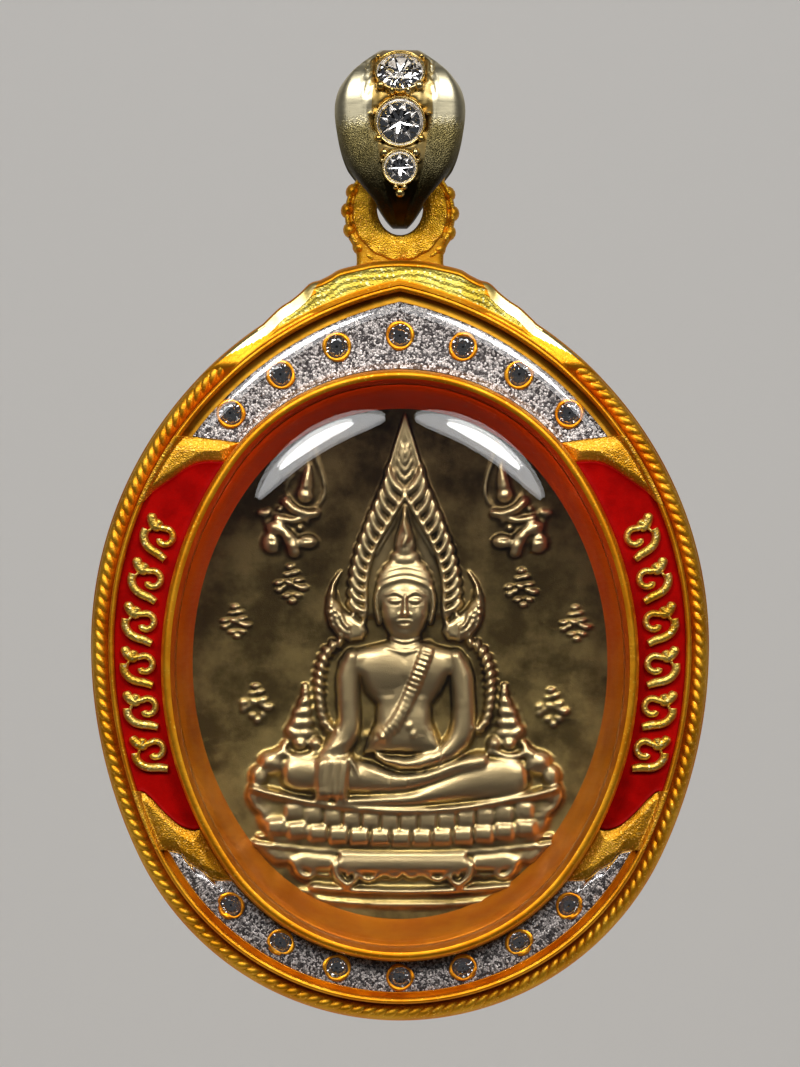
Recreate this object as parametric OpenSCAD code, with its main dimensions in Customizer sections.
// Oval amulet locket: a gilt case with red enamel, white metal panels and small stones round a domed
// window, a cast medal inside, and a stone-set bail that hangs in a beaded lug on top.
// Pieces are drawn face on, x to the right, y up the face and z out of the face, and then stood up.

/* [Case] */
// Width of the case at its widest line
case_w = 38; // [35:0.5:41]
// Height of the pointed top above the widest line
case_top = 23.2; // [22:0.2:25]
// Depth of the round lower end below the widest line
case_low = 23.1; // [22:0.2:25]
// Roundness of the lower end, as its radius over half the width
low_round = 0.937; // [0.9:0.005:0.96]
// Metal thickness of the case's walls and back
wall = 0.8; // [0.7:0.05:1]
// Depth of the back behind the lug's plane
back_depth = 2.6; // [2.3:0.1:3]
// Height of the recessed floor in front of the lug's plane
floor_z = 2.9; // [2.7:0.1:3.2]
// Rounding of the back's edge
back_round = 1.2; // [0.8:0.1:1.4]
// Turn up each shoulder, from the widest line, where the rope ends at the smooth crown
crown_start = 46; // [40:1:55]

/* [Face] */
// Width of the rim outside the enamel
rim_w = 1.5; // [1.4:0.05:1.7]
// Width of the ledge between the rim and the white panel at the top
ledge_w = 0.55; // [0.4:0.05:0.7]
// Width of the same ledge at the bottom
ledge_low = 0.3; // [0.25:0.05:0.4]
// Height of the rim above the floor
lip_h = 1.3; // [1.1:0.1:1.5]
// Width of the enamel band beside the window
band_side = 2.9; // [2.6:0.1:3.2]
// Width from the rim to the window at the top
band_top = 4.8; // [4.4:0.1:5.2]
// Width from the rim to the window at the bottom
band_low = 2.3; // [2.2:0.1:2.6]
// Roundness of the window's ends, as their radius over half its width
window_round = 0.89; // [0.86:0.01:0.92]
// Thickness of the enamel and of the white metal panels
panel_t = 0.85; // [0.75:0.05:1]
// Thickness of the clear resin over the white panels
resin_t = 0.4; // [0.3:0.05:0.5]
// Height of the gold scrolls on the enamel
scroll_h = 0.3; // [0.2:0.05:0.4]
// Size of one scroll, up the band
scroll_size = 2.9; // [2.4:0.1:3]
// Width of the scrolls' wire
scroll_wire = 0.42; // [0.3:0.02:0.5]
// Scrolls on each enamel band
scroll_count = 6; // [4:1:6]
// Distance between scrolls
scroll_step = 2.65; // [2.55:0.05:2.7]
// Diameter of the panels' stones
panel_stone_d = 1.5; // [1.3:0.1:1.6]

/* [Rope edge] */
// Thickness of the twisted wire round the case
rope_d = 1; // [0.8:0.05:1.1]
// Length of one lobe of the twist
rope_lobe = 0.86; // [0.8:0.05:1.1]

/* [Window] */
// Width of the gold bezel round the lens
bezel_w = 0.85; // [0.75:0.05:1]
// Height of the bezel's crest above the floor
bezel_h = 2.1; // [1.9:0.1:2.4]
// Height of the lens's crown above the floor
lens_h = 3.4; // [3.2:0.1:3.8]
// Thickness of the lens
lens_t = 0.9; // [0.7:0.1:1]
// Height of the lens's upright edge
lens_edge_t = 0.75; // [0.6:0.05:0.9]
// Width of the lens's rounded shoulder
lens_shoulder = 2.5; // [2:0.1:3]
// Depth of the collar's top below the bezel's crest
collar_sink = 1.3; // [1.1:0.1:1.5]
// Thickness of the collar's top
collar_t = 0.35; // [0.3:0.05:0.45]
// Width of the slope from the window's edge to the collar's foot
collar_foot = 2; // [1.8:0.1:2.2]
// Depth of the medal's field below the floor
medal_drop = 2.2; // [2:0.1:2.4]
// Height of the medal's relief at its highest
relief_h = 1.2; // [0.8:0.1:1.3]
// Rise of the medal's field from its edge to its middle
field_rise = 0.3; // [0.2:0.05:0.4]

/* [Lug and bail] */
// Radius of the lug's ring
lug_r = 3.5; // [3.3:0.1:3.7]
// Height of the lug's centre above the case's point
lug_rise = 3.4; // [3.3:0.1:3.6]
// Radius of the lug's hole
hole_r = 1.7; // [1.6:0.05:1.8]
// Thickness of the lug from front to back
lug_t = 1.6; // [1.4:0.1:1.8]
// Thickness of the lug's bar above its hole
lug_bar = 1.4; // [1.3:0.1:1.5]
// Width of the lug's neck
neck_w = 5.6; // [5.2:0.1:6]
// Width of the bail at its shoulders
bail_w = 8; // [7.6:0.1:8.4]
// Height of the bail's crown above the lug's bar
bail_top = 7.4; // [7.2:0.1:7.8]
// Radius of the bail's crown, seen from the side
crown_r = 3.6; // [3.5:0.05:3.8]
// Metal thickness of the bail's legs
bail_t = 1; // [0.9:0.05:1.1]
// Clearance of the bail round the lug's bar
saddle_gap = 0.6; // [0.5:0.05:0.7]
// Diameter of the bail's two upper stones
bail_stone_d = 2.8; // [2.6:0.1:3]
// Diameter of the bail's lowest stone
tip_stone_d = 1.9; // [1.7:0.1:2.1]
// Height of the stones' collets above the bail
collet_h = 0.35; // [0.25:0.05:0.45]
// Depth of the collets' feet in the bail
collet_foot = 0.6; // [0.5:0.05:0.7]
// Wall of the collets
collet_wall = 0.25; // [0.2:0.05:0.3]
// Clearance between the lug and the bail's legs at full swing
leg_gap = 0.25; // [0.2:0.05:0.3]
// Swing of the case on the bail, each way, in degrees
swing = 25; // [15:1:26]

/* [Hidden] */
$fn = 64;
gap = 0.05; // between pieces that are set in each other
hem = 0.2; // overlap of fused pieces
bevel = 0.15; // along the edges of the rim

// Outlines are lists of arcs: centre, radius, from, to, and 1 or -1 where an arc ends at the point
half_w = case_w / 2;
upper_r = (case_top * case_top + half_w * half_w) / (2 * half_w);
nose_r = low_round * half_w;
lower_r = (half_w * half_w + case_low * case_low - 2 * case_low * nose_r) / (2 * (half_w - nose_r));
lower_turn = atan2(case_low - nose_r, lower_r - half_w);
case_arcs = [
    [[half_w - upper_r, 0], upper_r, 0, 80, 1],
    [[upper_r - half_w, 0], upper_r, 100, 180, -1],
    [[lower_r - half_w, 0], lower_r, 180, 180 + lower_turn, 0],
    [[0, nose_r - case_low], nose_r, 180 + lower_turn, 360 - lower_turn, 0],
    [[half_w - lower_r, 0], lower_r, 360 - lower_turn, 360, 0]];

// The window's oval: four arcs, placed by the bands round it
channel_top = sqrt(pow(upper_r - rim_w, 2) - pow(upper_r - half_w, 2));
window_hw = half_w - rim_w - band_side;
window_hh = (channel_top - band_top + case_low - rim_w - band_low) / 2;
window_y = channel_top - band_top - window_hh;
end_r = window_round * window_hw;
side_r = (window_hw * window_hw + window_hh * window_hh - 2 * window_hh * end_r)
    / (2 * (window_hw - end_r));
side_turn = atan2(window_hh - end_r, side_r - window_hw);
window_arcs = [
    [[window_hw - side_r, window_y], side_r, -side_turn, side_turn, 0],
    [[0, window_y + window_hh - end_r], end_r, side_turn, 180 - side_turn, 0],
    [[side_r - window_hw, window_y], side_r, 180 - side_turn, 180 + side_turn, 0],
    [[0, window_y + end_r - window_hh], end_r, 180 + side_turn, 360 - side_turn, 0]];

// Levels out of the face
split_z = lug_t / 2 + 2 * gap;
panel_z = floor_z + gap + panel_t;
lip_z = floor_z + lip_h;
rope_seat_z = floor_z - 0.3 * rope_d;
rope_z = rope_seat_z + gap + rope_d / 2;
inner_floor_z = wall - back_depth;
field_z = floor_z - medal_drop;
collar_top_z = floor_z + bezel_h - collar_sink;
lens_edge_z = collar_top_z + gap;

// Offsets in from the case's outline or from the window's outline
rope_in = 2 * gap + rope_d / 2;
rope_wall_in = rope_in + rope_d / 2 + gap;
top_in = rim_w + ledge_w;
low_in = rim_w + ledge_low;
crown_y_foot = (upper_r - rope_in) * sin(crown_start) + bevel;
medal_in = 0.75 * collar_foot;
lens_in = bezel_w + gap;

// The lug and the bail, with heights above the bar that the bail swings on
lug_y = case_top + lug_rise;
bar_y = lug_y + lug_r - lug_bar / 2;
hole_y = lug_y + lug_r - lug_bar - hole_r;
hole_drop = bar_y - hole_y;
hole_bevel = lug_t / 4;
belly_r = hole_drop + hole_r - 0.35 * bail_t;
saddle_r = lug_bar / 2 + saddle_gap;
crown_y = bail_top - crown_r;
chain_y = bar_y + crown_y;
neck_reach = 65; // turn of the bail's lower bend, each way from straight down

// Where panels meet, from the rim to the window: across as shares of half the width, up or down as
// shares of the height above or below the widest line
white_over_gold = [[1.05, 0.555], [0.71, 0.552], [0.63, 0.547], [0.534, 0.537], [0.37, 0.52]];
gold_over_red = [[1.05, 0.353], [0.858, 0.366], [0.795, 0.405], [0.742, 0.435], [0.679, 0.47],
    [0.632, 0.483], [0.568, 0.483], [0.37, 0.474]];
red_over_gold = [[1.05, 0.377], [0.853, 0.385], [0.81, 0.398], [0.758, 0.442], [0.71, 0.476],
    [0.663, 0.489], [0.626, 0.485], [0.37, 0.48]];
gold_over_white = [[1.05, 0.537], [0.737, 0.545], [0.679, 0.576], [0.632, 0.597], [0.6, 0.619],
    [0.542, 0.623], [0.516, 0.628], [0.37, 0.636]];
// Where the stones sit from the middle to one side: across as shares of half the width, then out from
// the window as shares of the top panel's and of the low panel's height there
stone_row = [[0, 0.49, 0.52], [0.203, 0.55, 0.49], [0.384, 0.57, 0.46], [0.545, 0.64, 0.54]];
// The bezel's crest, as shares of its width and height
bezel_crest = [[0, 0.76], [0.18, 0.95], [0.41, 1], [0.82, 0.93], [1, 0.76]];
// The outline of the crown's cap from its middle to one side, as shares of half the width and of the
// height above the widest line
crown_cap = [[0, 1.018], [0.08, 1.014], [0.129, 1.006], [0.194, 0.993], [0.226, 0.978], [0.258, 0.965],
    [0.281, 0.96], [0.297, 0.952], [0.323, 0.931], [0.355, 0.91], [0.387, 0.893], [0.42, 0.868],
    [0.46, 0.83], [0.3, 0.85]];
// Half width and height of the bail's outline, as shares of half its width and of its crown's height
bail_outline = [[0.3, 0.985], [0.49, 0.92], [0.62, 0.855], [0.8, 0.785], [0.93, 0.67], [1, 0.5],
    [0.985, 0.33], [0.9, 0.13], [0.78, -0.02], [0.6, -0.18], [0.42, -0.3], [0.27, -0.42]];

// Points of an outline, moved in by an offset; every offset gives the same number of points
function arc_points(arc, in) =
    let (turn_at_point = acos(abs(arc[0].x) / (arc[1] - in)),
         from = arc[4] == -1 ? 180 - turn_at_point : arc[2],
         to = arc[4] == 1 ? turn_at_point : arc[3],
         steps = ceil((arc[3] - arc[2]) / 5))
    [for (i = [0:steps - 1]) let (turn = from + (to - from) * i / steps)
        arc[0] + (arc[1] - in) * [cos(turn), sin(turn)]];
function outline(arcs, in) = [for (arc = arcs) each arc_points(arc, in)];
function raised(points, z) = [for (p = points) [p.x, p.y, z]];

// Faces of the band between one loop of points and the next
function band(first, second, count) = [for (i = [0:count - 1]) let (j = (i + 1) % count) each
    [[first + i, first + j, second + j], [first + i, second + j, second + i]]];

// Places of the stones on the white panels, and of the enamel bands' middles
function window_rise(x) = window_hh - end_r + sqrt(end_r * end_r - x * x);
function stone_place(i, top) =
    let (seat = stone_row[abs(i - 4)],
         x = sign(i - 4) * seat[0] * half_w,
         inner = window_y + (top ? 1 : -1) * window_rise(x),
         outer = top ? sqrt(pow(upper_r - top_in, 2) - pow(abs(x) + upper_r - half_w, 2))
             : nose_r - case_low - sqrt(pow(nose_r - low_in, 2) - x * x))
    [x, inner + (top ? seat[1] : seat[2]) * (outer - inner)];
function rim_x(y) = y > 0 ? half_w - upper_r + sqrt(pow(upper_r - rim_w, 2) - y * y)
    : half_w - lower_r + sqrt(pow(lower_r - rim_w, 2) - y * y);
function window_x(y) = window_hw * sqrt(1 - pow((y - window_y) / window_hh, 2));
function band_middle(y) = (rim_x(y) + window_x(y)) / 2;

// Stands a piece that is drawn face on up, with the chain's axis at the origin
module stand() {
    translate([0, 0, -chain_y]) rotate([90, 0, 0]) children();
}

module case_shape(in) {
    polygon(outline(case_arcs, in));
}

module window_shape(in) {
    polygon(outline(window_arcs, in));
}

module crown_cap_shape() {
    points = [for (p = crown_cap) [p.x * half_w, p.y * case_top]];
    polygon(concat(points, [for (i = [len(points) - 1:-1:1]) [-points[i].x, points[i].y]]));
}

// A solid whose skin runs through outlines of given offset and height; the ends are closed flat
module stack_of(arcs, rows) {
    count = len(outline(arcs, 0));
    last = len(rows) - 1;
    polyhedron(
        [for (row = rows) each raised(outline(arcs, row.x), row.y)],
        concat([[for (i = [0:count - 1]) i]],
            [for (k = [0:last - 1]) each band((k + 1) * count, k * count, count)],
            [[for (i = [count - 1:-1:0]) last * count + i]]));
}

// A ring along an outline, whose section is a loop of offset and height
module ring_of(arcs, rows) {
    count = len(outline(arcs, 0));
    polyhedron(
        [for (row = rows) each raised(outline(arcs, row.x), row.y)],
        [for (k = [0:len(rows) - 1])
            each band(((k + 1) % len(rows)) * count, k * count, count)]);
}

// Regions of the face
module left_curve(high, low) {
    polygon(concat(
        [for (p = high) [-p.x * half_w, p.y * case_top]],
        [for (i = [len(low) - 1:-1:0]) [-low[i].x * half_w, -low[i].y * case_low]]));
}

module enamel_area(spare) {
    intersection() {
        difference() {
            case_shape(rim_w + spare);
            window_shape(-spare);
        }
        left_curve(gold_over_red, red_over_gold);
    }
}

module white_area(curve, height, in, spare) {
    points = [for (p = curve) [p.x * half_w, p.y * height]];
    intersection() {
        difference() {
            case_shape(in + spare);
            window_shape(-spare);
        }
        polygon(concat([for (p = points) [-p.x, p.y]], [for (i = [len(points) - 1:-1:0]) points[i]],
            [[1.05 * half_w, 1.1 * height], [-1.05 * half_w, 1.1 * height]]));
    }
}

module lug() {
    difference() {
        union() {
            translate([0, lug_y, -lug_t / 2]) cylinder(r = lug_r, h = lug_t);
            translate([-neck_w / 2, case_top - 1.5 * wall, -lug_t / 2]) cube([neck_w, lug_y - case_top, lug_t]);
            for (side = [0, 1], turn = [-35:17:50]) mirror([side, 0, 0]) translate([0, lug_y, 0])
                rotate([0, 0, turn]) translate([lug_r, 0, -0.35 * lug_t])
                    cylinder(r = 0.1 * lug_r, h = 0.7 * lug_t);
        }
        translate([0, hole_y, -lug_t]) cylinder(r = hole_r, h = 2 * lug_t);
        for (face = [0, 1]) mirror([0, 0, face]) translate([0, hole_y, lug_t / 2 - hole_bevel])
            cylinder(r1 = hole_r, r2 = hole_r + 2 * hole_bevel, h = 2 * hole_bevel);
    }
}

module back_shell() {
    color("goldenrod") stand() {
        stack_of(case_arcs, concat(
            [for (turn = [0:30:90]) [back_round * (1 - sin(turn)), back_round * (1 - cos(turn)) - back_depth]],
            [[0, split_z], [wall, split_z], [wall, inner_floor_z]]));
        lug();
    }
}

module front_frame() {
    color("goldenrod") stand() {
        ring_of(case_arcs, [[0, split_z + gap], [0, rope_seat_z - bevel], [bevel, rope_seat_z],
            [rope_wall_in, rope_seat_z], [rope_wall_in, lip_z - bevel], [rope_wall_in + bevel, lip_z],
            [rim_w - bevel / 2, lip_z - bevel / 3], [rim_w, lip_z - bevel], [rim_w, floor_z - wall],
            [wall, floor_z - wall], [wall, split_z + gap]]);
        translate([0, 0, rope_seat_z - hem]) linear_extrude(lip_z - bevel - rope_seat_z + hem) intersection() {
            difference() {
                union() {
                    case_shape(gap);
                    crown_cap_shape();
                }
                case_shape(rope_wall_in + hem / 2);
            }
            translate([-half_w, crown_y_foot]) square([2 * half_w, case_top]);
        }
        translate([0, 0, floor_z - wall]) linear_extrude(wall) difference() {
            case_shape(rim_w - hem);
            window_shape(bezel_w - hem);
        }
        translate([0, 0, floor_z - hem]) linear_extrude(panel_t + gap + hem) difference() {
            case_shape(rim_w - hem);
            window_shape(hem);
            enamel_area(0);
            mirror([1, 0]) enamel_area(0);
            top_area(0);
            low_area(0);
        }
        ring_of(window_arcs, concat([[0, floor_z - hem]],
            [for (p = bezel_crest) [p.x * bezel_w, floor_z + p.y * bezel_h]],
            [[bezel_w, floor_z - wall], [bezel_w - hem, floor_z - wall]]));
    }
}

// Two strands twisted into a rope: an oval section that turns as it runs from the left end of the
// crown round below to its right end, a third of a lobe at a time
rope_arcs = [for (arc = case_arcs) let (r = arc[1] - rope_in)
    [arc[0], r, arc[4] == -1 ? 180 - crown_start : arc[2], arc[4] == 1 ? crown_start : arc[3]]];
rope_route = [rope_arcs[1], rope_arcs[2], rope_arcs[3], rope_arcs[4], rope_arcs[0]];
rope_lengths = [for (arc = rope_route) arc[1] * (arc[3] - arc[2]) * PI / 180];
rope_length = rope_lengths * [1, 1, 1, 1, 1];
rope_rings = 3 * round(rope_length / rope_lobe);

function rope_place(way, k = 0) = way <= rope_lengths[k] || k == len(rope_route) - 1
    ? [rope_route[k], rope_route[k][2] + way / rope_route[k][1] * 180 / PI]
    : rope_place(way - rope_lengths[k], k + 1);

module rope_edge() {
    sides = 6;
    color("gold") stand() polyhedron(
        [for (i = [0:rope_rings]) let (place = rope_place(i * rope_length / rope_rings),
            centre = place[0][0], r = place[0][1], turn = place[1]) for (k = [0:sides - 1])
                let (wide = rope_d / 2 * cos(60 * k), thin = 0.62 * rope_d / 2 * sin(60 * k),
                     out = wide * cos(60 * i) - thin * sin(60 * i),
                     up = wide * sin(60 * i) + thin * cos(60 * i))
                [centre.x + (r + out) * cos(turn), centre.y + (r + out) * sin(turn), rope_z + up]],
        concat([[for (k = [0:sides - 1]) k]],
            [for (i = [0:rope_rings - 1]) each band((i + 1) * sides, i * sides, sides)],
            [[for (k = [sides - 1:-1:0]) rope_rings * sides + k]]));
}

module inner_collar() {
    color("darkorange") stand() ring_of(window_arcs, [[lens_in, collar_top_z],
        [lens_in + collar_t, collar_top_z], [collar_foot, field_z + gap], [lens_in, field_z + gap]]);
}

// The lens: a clear dome that rises over its rounded shoulder to a flat crown
module lens() {
    span = window_hw - lens_shoulder - lens_in;
    rise = floor_z + lens_h - lens_edge_z - lens_edge_t;
    top = [for (share = [0, 0.05, 0.2, 0.45, 1])
        [lens_in + share * span, lens_edge_z + lens_edge_t + rise * sqrt(1 - pow(1 - share, 2))]];
    under = [for (share = [1, 0.45, 0.15])
        [lens_in + share * span,
         lens_edge_z + lens_edge_t - lens_t + rise * sqrt(1 - pow(1 - share, 2))]];
    color([0.85, 0.9, 0.95, 0.35]) stand()
        stack_of(window_arcs, concat(under, [[lens_in, lens_edge_z]], top));
}

// The medal's field and its cast relief: a seated figure under a flame-edged arch on a lotus base.
// Domes: middle across and up, half width, half height, as shares of half the window's width and
// height, and height as a share of the relief's
relief_domes = [
    [0, 0.21, 0.105, 0.14, 1], [0, 0.385, 0.045, 0.1, 0.8], [0, -0.02, 0.27, 0.1, 0.85],
    [0, -0.15, 0.2, 0.2, 0.9], [-0.27, -0.17, 0.075, 0.2, 0.8], [0.27, -0.17, 0.075, 0.2, 0.8],
    [-0.2, -0.34, 0.1, 0.09, 0.9], [0.1, -0.33, 0.16, 0.07, 0.9], [0, -0.385, 0.6, 0.085, 0.85],
    [-0.44, -0.37, 0.2, 0.1, 0.8], [0.44, -0.37, 0.2, 0.1, 0.8],
    [-0.35, 0.06, 0.05, 0.12, 0.6], [0.35, 0.06, 0.05, 0.12, 0.6],
    [-0.42, -0.17, 0.07, 0.14, 0.4], [0.42, -0.17, 0.07, 0.14, 0.4],
    [-0.48, 0.5, 0.09, 0.15, 0.5], [0.48, 0.5, 0.09, 0.15, 0.5]];
// Steps of the base: middle up, half width, half height and height, shared in the same way
relief_steps = [[-0.5, 0.62, 0.045, 0.75], [-0.57, 0.6, 0.03, 0.55], [-0.63, 0.52, 0.03, 0.5],
    [-0.7, 0.42, 0.04, 0.6]];
// The arch's edge: half width and place up
arch_edge = [[0.02, 0.77], [0.085, 0.62], [0.14, 0.5], [0.2, 0.38], [0.225, 0.27], [0.2, 0.1]];
medal_rows = 54;
medal_columns = 36;

function dome(x, y, d) = let (q = pow((x - d[0]) / d[2], 2) + pow((y - d[1]) / d[3], 2))
    q < 1 ? d[4] * sqrt(1 - q) : 0;
function step(x, y, s) = abs(x) < s[1] && abs(y - s[0]) < s[2] ? s[3] : 0;
function arch(x, y) = y > arch_edge[0][1] || y < arch_edge[5][1] ? 0
    : abs(x) < lookup(y, [for (e = arch_edge) [e[1], e[0]]]) ? 0.35 : 0;
function relief(x, y) = field_rise * max(0, 1 - 1.4 * (x * x + y * y))
    + relief_h * max(concat([arch(x, y)], [for (d = relief_domes) dome(x, y, d)],
        [for (s = relief_steps) step(x, y, s)]));
function medal_half(y) = let (up = abs(y - window_y), end = window_hh - end_r)
    up > end + (end_r - medal_in) * sin(side_turn)
        ? sqrt(max(0, pow(end_r - medal_in, 2) - pow(up - end, 2)))
        : window_hw - side_r + sqrt(pow(side_r - medal_in, 2) - up * up);

module medal() {
    across = medal_columns + 1;
    low = window_y - window_hh + medal_in + 2 * gap;
    pitch = (window_y - low) * 2 / medal_rows;
    top = [for (k = [0:medal_rows]) let (y = low + k * pitch, half = medal_half(y))
        for (i = [0:medal_columns]) let (x = half * (2 * i / medal_columns - 1))
            [x, y, field_z + relief(x / window_hw, (y - window_y) / window_hh)]];
    edge = concat([for (i = [0:medal_columns]) i],
        [for (k = [1:medal_rows]) k * across + medal_columns],
        [for (i = [medal_columns - 1:-1:0]) medal_rows * across + i],
        [for (k = [medal_rows - 1:-1:1]) k * across]);
    count = len(edge);
    color("darkkhaki") stand() polyhedron(
        concat(top, [for (i = edge) [top[i].x, top[i].y, inner_floor_z + gap]],
            [[0, window_y, inner_floor_z + gap]]),
        concat(
            [for (k = [0:medal_rows - 1]) for (i = [0:medal_columns - 1])
                let (a = k * across + i) each [[a, a + across, a + across + 1], [a, a + across + 1, a + 1]]],
            [for (i = [0:count - 1]) let (j = (i + 1) % count, low_i = len(top) + i, low_j = len(top) + j)
                each [[edge[i], edge[j], low_j], [edge[i], low_j, low_i],
                    [low_i, low_j, len(top) + count]]]));
}

module panel_plate(shade, from, height) {
    color(shade) stand() translate([0, 0, from]) linear_extrude(height) children();
}

module enamel_left() {
    panel_plate("firebrick", floor_z + gap, panel_t) enamel_area(gap);
}

module enamel_right() {
    panel_plate("firebrick", floor_z + gap, panel_t) mirror([1, 0]) enamel_area(gap);
}

module top_area(spare) {
    white_area(white_over_gold, case_top, top_in, spare);
}

module low_area(spare) {
    white_area(gold_over_white, -case_low, low_in, spare);
}

// A white panel with a round seat through it for each stone
module white_panel_top() {
    panel_plate("silver", floor_z + gap, panel_t) difference() {
        top_area(gap);
        for (i = [1:7]) translate(stone_place(i, true)) circle(d = panel_stone_d + 2 * gap);
    }
}

module white_panel_low() {
    panel_plate("silver", floor_z + gap, panel_t) difference() {
        low_area(gap);
        for (i = [1:7]) translate(stone_place(i, false)) circle(d = panel_stone_d + 2 * gap);
    }
}

module resin_top() {
    panel_plate([0.9, 0.95, 1, 0.3], panel_z + gap, resin_t) top_area(gap);
}

module resin_low() {
    panel_plate([0.9, 0.95, 1, 0.3], panel_z + gap, resin_t) low_area(gap);
}

// A cut stone with its table up at the origin: eight crown facets, a girdle and eight pavilion facets
module stone(d) {
    rings = [[0.29 * d, 0], [0.5 * d, -0.15 * d], [0.5 * d, -0.19 * d]];
    color("gainsboro") polyhedron(
        concat([for (ring = rings) for (i = [0:7]) [ring.x * cos(45 * i), ring.x * sin(45 * i), ring.y]],
            [[0, 0, -0.56 * d]]),
        concat([[for (i = [7:-1:0]) i]],
            [for (k = [0:1]) for (i = [0:7]) let (j = (i + 1) % 8)
                [8 * k + i, 8 * k + j, 8 * k + 8 + j, 8 * k + 8 + i]],
            [for (i = [0:7]) [16 + i, 16 + (i + 1) % 8, 24]]));
}

module top_stone(i) {
    stand() translate(concat(stone_place(i, true), [panel_z])) stone(panel_stone_d);
}

module low_stone(i) {
    stand() translate(concat(stone_place(i, false), [panel_z])) stone(panel_stone_d);
}

// One scroll: a leaf whose stem curls round into a hook, over a second curl that sweeps below it,
// as shares of the scroll's size
leaf = [[-0.16, 0.48], [-0.24, 0.29], [-0.17, 0.18], [-0.02, 0.2], [-0.03, 0.36]];
hook = [[-0.12, 0.22], [0, 0.18], [0.1, 0.19], [0.2, 0.14], [0.26, 0.05], [0.26, -0.03], [0.2, -0.09],
    [0.13, -0.09], [0.07, -0.06]];
sweep = [[-0.14, 0.17], [-0.24, 0.1], [-0.3, 0], [-0.27, -0.13], [-0.17, -0.23], [-0.04, -0.3],
    [0.09, -0.35], [0.2, -0.43]];

function stroke(points, width) =
    let (last = len(points) - 1,
         sides = [for (i = [0:last]) let (d = points[min(i + 1, last)] - points[max(i - 1, 0)])
             width / 2 / norm(d) * [-d.y, d.x]])
    concat([for (i = [0:last]) points[i] + sides[i]], [for (i = [last:-1:0]) points[i] - sides[i]]);

module scroll(i) {
    y = scroll_step * ((scroll_count + 1) / 2 - i);
    lean = atan(band_middle(y + 0.5) - band_middle(y - 0.5));
    color("gold") translate([-band_middle(y), y, panel_z + gap]) rotate([0, 0, lean]) {
        linear_extrude(scroll_h) polygon(scroll_size * leaf);
        linear_extrude(scroll_h) polygon(stroke(scroll_size * hook, scroll_wire));
        linear_extrude(scroll_h) polygon(stroke(scroll_size * sweep, scroll_wire));
    }
}

module scroll_left(i) {
    stand() scroll(i);
}

module scroll_right(i) {
    stand() mirror([1, 0, 0]) scroll(i);
}

// The bail, drawn with heights above the bar that it swings on
module across(width) {
    translate([width / 2, 0, 0]) rotate([0, -90, 0]) linear_extrude(width) children();
}

module bail_side() {
    difference() {
        polygon(concat([for (turn = [0:6:180]) [crown_r * cos(turn), crown_y + crown_r * sin(turn)]],
            [for (turn = [180:6:360]) belly_r * [cos(turn), sin(turn)]]));
        polygon(concat([for (turn = [0:6:180])
                [(crown_r - bail_t) * cos(turn), crown_y + (crown_r - bail_t) * sin(turn)]],
            [[bail_t - crown_r, 0.32 * crown_y]],
            [for (turn = [180:12:360]) saddle_r * [cos(turn), sin(turn)]],
            [[crown_r - bail_t, 0.32 * crown_y]]));
    }
}

module bail_front() {
    points = [for (p = bail_outline) [p.x * bail_w / 2, p.y * bail_top]];
    polygon(concat(points, [for (i = [len(points) - 1:-1:0]) [-points[i].x, points[i].y]]));
}

// Room for the lug between the bail's legs, over its whole swing
module swing_room() {
    start = (lug_t / 2 + leg_gap) * [cos(swing), sin(swing)];
    end = start + 1.4 * belly_r * [sin(swing), -cos(swing)];
    polygon([start, end, [-end.x, end.y], [-start.x, start.y]]);
}

// Where a stone sits on the bail: height above the bar, and turn up from the front
crown_turn = 34;
bail_stones = [[bail_stone_d, crown_y + crown_r * sin(crown_turn), crown_r * cos(crown_turn), crown_turn],
    [bail_stone_d, 0.36 * bail_top, belly_r + (crown_r - belly_r) * 0.36 * bail_top / crown_y, 0],
    [tip_stone_d, -0.02 * bail_top, belly_r, 0]];

module on_bail(seat) {
    translate([0, seat[1], seat[2]]) rotate([-seat[3], 0, 0]) children();
}

module bail_body() {
    difference() {
        union() {
            difference() {
                intersection() {
                    across(1.1 * bail_w) bail_side();
                    translate([0, 0, -2 * crown_r]) linear_extrude(4 * crown_r) bail_front();
                }
                across(1.2 * bail_w) swing_room();
            }
            rotate([0, -90, 0]) rotate([0, 0, 270 - neck_reach]) rotate_extrude(angle = 2 * neck_reach)
                translate([hole_drop, 0]) circle(hole_r - hole_bevel);
            for (seat = bail_stones) on_bail(seat)
                translate([0, 0, -collet_foot])
                    cylinder(d = seat[0] + 2 * collet_wall, h = collet_foot + collet_h);
        }
        for (seat = bail_stones) on_bail(seat) {
            translate([0, 0, -0.15 * seat[0]]) cylinder(d = seat[0] + 2 * gap, h = seat[0]);
            translate([0, 0, -2 * bail_t]) cylinder(d = seat[0] - 2 * collet_wall, h = 2 * bail_t);
        }
    }
}

module bail() {
    color("goldenrod") stand() translate([0, bar_y, 0]) bail_body();
}

module bail_stone(i) {
    stand() translate([0, bar_y, 0]) on_bail(bail_stones[i - 1])
        translate([0, 0, 0.15 * bail_stones[i - 1][0]]) stone(bail_stones[i - 1][0]);
}

back_shell();
front_frame();
rope_edge();
inner_collar();
medal();
lens();
enamel_left();
enamel_right();
white_panel_top();
white_panel_low();
resin_top();
resin_low();
for (i = [1:scroll_count]) scroll_left(i);
for (i = [1:scroll_count]) scroll_right(i);
for (i = [1:7]) top_stone(i);
for (i = [1:7]) low_stone(i);
bail();
for (i = [1:3]) bail_stone(i);
